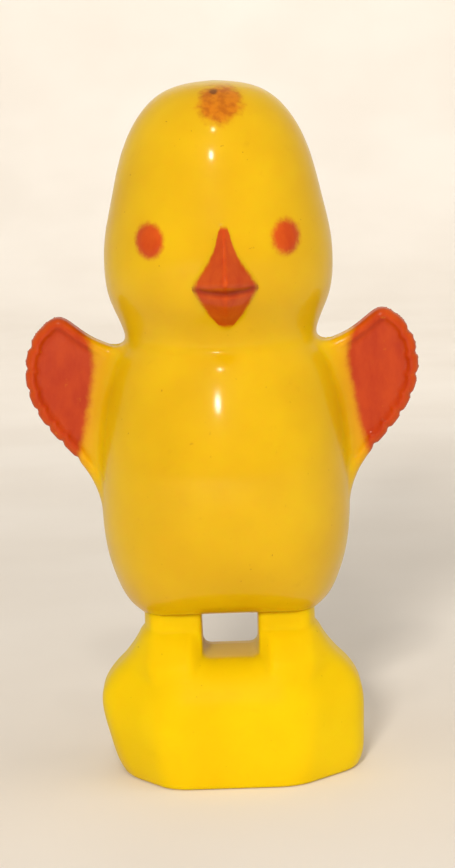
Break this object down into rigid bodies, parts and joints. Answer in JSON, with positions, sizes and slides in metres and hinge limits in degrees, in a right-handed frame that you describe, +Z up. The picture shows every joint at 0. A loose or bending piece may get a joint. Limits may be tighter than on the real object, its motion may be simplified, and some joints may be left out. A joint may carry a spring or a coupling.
{
  "type": "wind-up hopping chick",
  "caption": "Upright hollow chick figure with raised wings on a sprung foot block, with a key-wound clockwork inside that lifts and drops the feet so that it hops.",
  "frame": {"origin": "middle of the sole, on the ground, under the middle of the head and torso", "axes": "+Z up along the body's axis, the face and beak look along -Y, the winding key is at +Y, +X is the bird's left"},
  "size_m": [0.0434, 0.0399, 0.076],
  "materials": {
    "yellow_plastic": "glossy, slightly translucent moulding with hand-painted orange eyes, beak, tuft and wing tips",
    "brass": "rolled and stamped",
    "tinned_steel": "stamped sheet",
    "turned_steel": "turned, oiled",
    "spring_steel": "blued",
    "plated_key": "nickel plate, worn at the rims"
  },
  "bodies": {
    "body": {"front_shell": "yellow_plastic", "back_shell": "yellow_plastic", "arbor_bush": "brass", "front_plate": "tinned_steel", "back_plate": "tinned_steel", "plate_pillars": "tinned_steel", "movement_screws": "tinned_steel", "thrust_bridge": "tinned_steel", "mainspring": "spring_steel"},
    "winding": {"winding_arbor": "turned_steel", "ratchet_wheel": "turned_steel", "winding_key": "plated_key"},
    "great": {"great_wheel": "brass", "click_spring": "spring_steel", "click_rivet": "turned_steel"},
    "second": {"second_arbor": "turned_steel", "second_wheel": "brass", "lift_wheel": "brass", "lift_pins": "turned_steel"},
    "third": {"third_arbor": "turned_steel", "third_wheel": "brass"},
    "fly": {"fly_arbor": "turned_steel", "governor_fly": "tinned_steel"},
    "feet": {"foot_block": "yellow_plastic", "sole_plate": "yellow_plastic", "lift_yoke": "tinned_steel", "yoke_screws": "turned_steel", "lift_leaf": "spring_steel", "leaf_rivet": "brass", "thrust_springs": "spring_steel"}
  },
  "joints": [
    {"name": "key_turn", "type": "hinge", "parent": "body", "child": "winding", "pos_m": [0, 0, 0.039], "axis": [0, 1, 0], "continuous": true, "deforming": ["mainspring", "click_spring"]},
    {"name": "great_turn", "type": "hinge", "parent": "body", "child": "great", "pos_m": [0, 0, 0.039], "axis": [0, 1, 0], "continuous": true, "deforming": ["click_spring", "lift_leaf"]},
    {"name": "second_turn", "type": "hinge", "parent": "body", "child": "second", "pos_m": [-0.0042, 0, 0.03104], "axis": [0, 1, 0], "continuous": true},
    {"name": "third_turn", "type": "hinge", "parent": "body", "child": "third", "pos_m": [0.0029, 0, 0.02985], "axis": [0, 1, 0], "continuous": true},
    {"name": "fly_turn", "type": "hinge", "parent": "body", "child": "fly", "pos_m": [0.0083, 0, 0.03197], "axis": [0, 1, 0], "continuous": true},
    {"name": "feet_lift", "type": "slide", "parent": "body", "child": "feet", "axis": [0, 0, 1], "range_m": [0, 0.0019], "stiffness_N_per_m": 200, "springref_m": -0.003, "deforming": ["thrust_springs", "lift_leaf"]}
  ],
  "couplings": [
    {"joint": "second_turn", "follows": "great_turn", "ratio": -4},
    {"joint": "third_turn", "follows": "great_turn", "ratio": 12},
    {"joint": "fly_turn", "follows": "great_turn", "ratio": -31.5}
  ]
}
